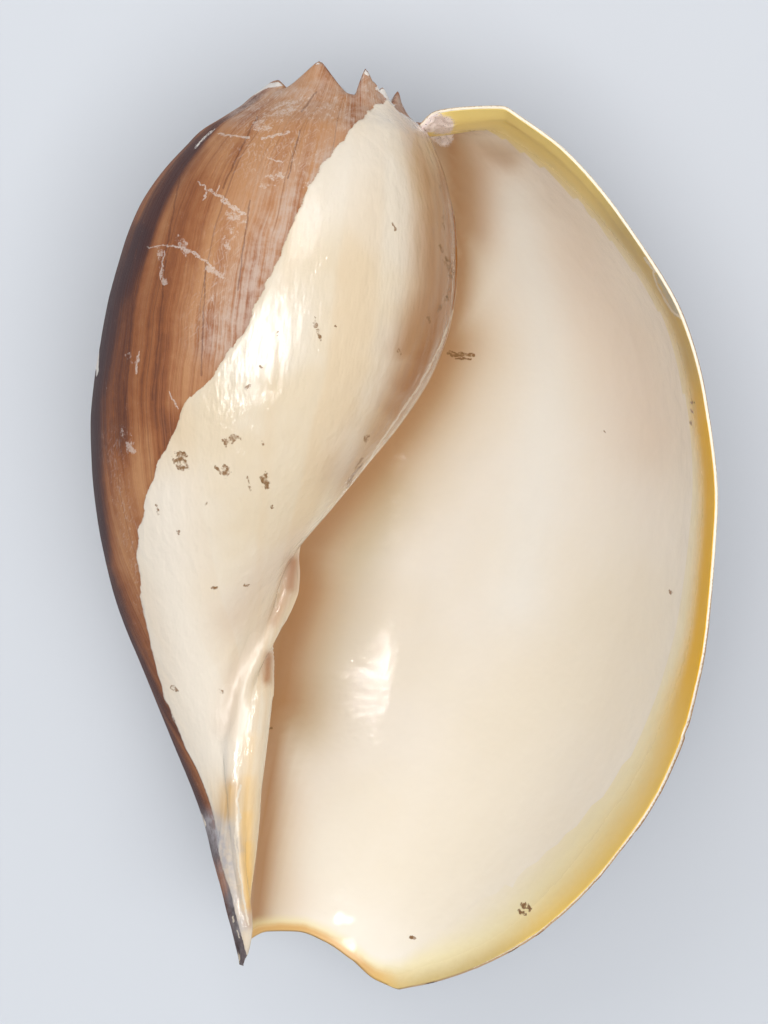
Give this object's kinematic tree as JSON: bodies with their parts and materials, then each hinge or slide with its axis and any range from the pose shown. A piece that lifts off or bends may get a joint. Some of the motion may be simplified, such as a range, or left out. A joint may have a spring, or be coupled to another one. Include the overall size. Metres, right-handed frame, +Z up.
{
  "type": "baler shell",
  "caption": "Large crowned volute shell lying on its back, with a wide flared mouth, a folded columella, a notched front end and a crown of blunt shoulder spines.",
  "frame": {"origin": "centre of the bounding box's footprint, on the surface that the shell rests on", "axes": "+Y along the coiling axis towards the spire, +X towards the outer lip, +Z up, out of the mouth"},
  "size_m": [0.165, 0.2404, 0.1194],
  "materials": {
    "shell": "satin brown outside with growth lines, glossy cream inside the mouth, golden lip"
  },
  "bodies": {
    "root": {"shell": "shell"}
  },
  "joints": []
}
